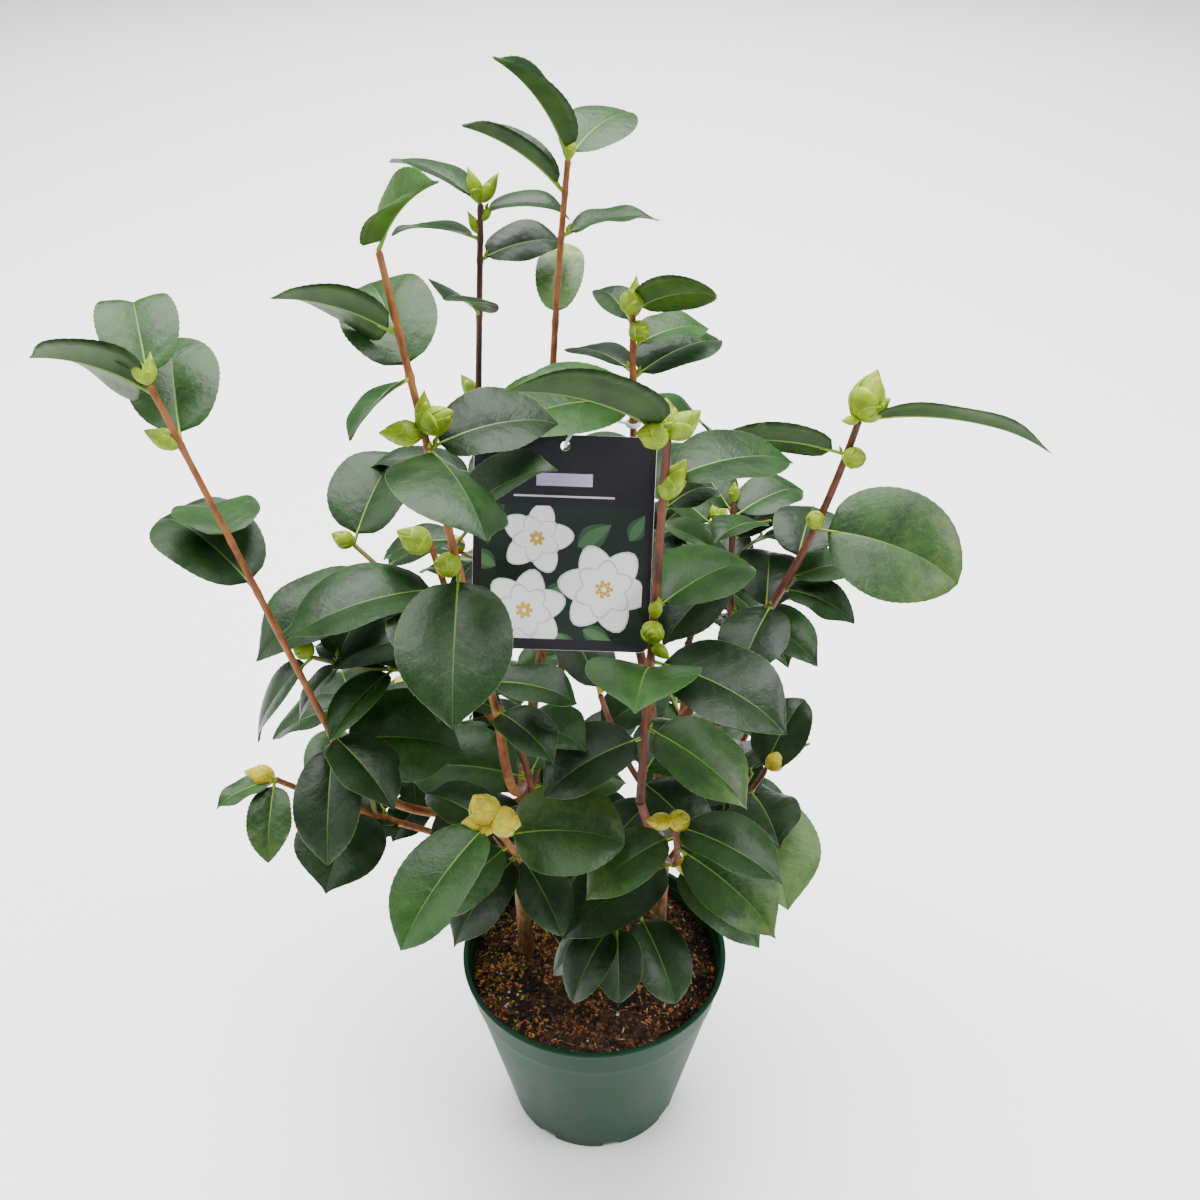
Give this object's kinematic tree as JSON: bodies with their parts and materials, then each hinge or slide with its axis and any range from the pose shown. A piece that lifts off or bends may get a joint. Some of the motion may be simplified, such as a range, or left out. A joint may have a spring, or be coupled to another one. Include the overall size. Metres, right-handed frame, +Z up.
{
  "type": "potted camellia shrub",
  "caption": "Young evergreen camellia shrub in a round nursery pot, with upright woody shoots, glossy oval leaves, plump flower buds and a hanging plant label.",
  "frame": {"origin": "middle of the pot's flat underside", "axes": "+Z up, +Y to the back of the plant as the picture shows it, +X to the right"},
  "size_m": [0.5065, 0.3692, 0.756],
  "materials": {
    "pot_plastic": "injection-moulded, satin",
    "potting_soil": "loose moist peat",
    "old_bark": "fissured grey-brown bark",
    "young_bark": "smooth red-brown bark",
    "foliage": "glossy leaf",
    "label_card": "glossy printed card",
    "label_tie": "soft white plastic"
  },
  "bodies": {
    "root": {"pot": "pot_plastic", "soil": "potting_soil", "left_stem": "old_bark", "right_stem": "old_bark", "left_bough": "young_bark", "front_left_bough": "young_bark", "left_inner_bough": "young_bark", "back_left_bough": "young_bark", "back_bough": "young_bark", "front_right_bough": "young_bark", "right_bough": "young_bark", "middle_right_bough": "young_bark", "back_right_bough": "young_bark", "left_shoot": "foliage", "front_left_shoot": "foliage", "left_inner_shoots": "foliage", "back_left_shoot": "foliage", "top_shoot": "foliage", "back_right_shoot": "foliage", "front_right_shoot": "foliage", "right_shoot": "foliage", "middle_right_shoot": "foliage", "front_low_shoot": "foliage", "right_low_shoot": "foliage", "left_low_shoots": "foliage", "middle_shoot": "foliage", "centre_shoot": "foliage", "front_bottom_shoot": "foliage", "right_low_side_shoot": "foliage", "back_shoots": "foliage", "back_right_shoots": "foliage", "back_low_left_shoots": "foliage", "back_low_right_shoots": "foliage", "back_bottom_shoot": "foliage", "label_card": "label_card", "label_tie": "label_tie"}
  },
  "joints": []
}
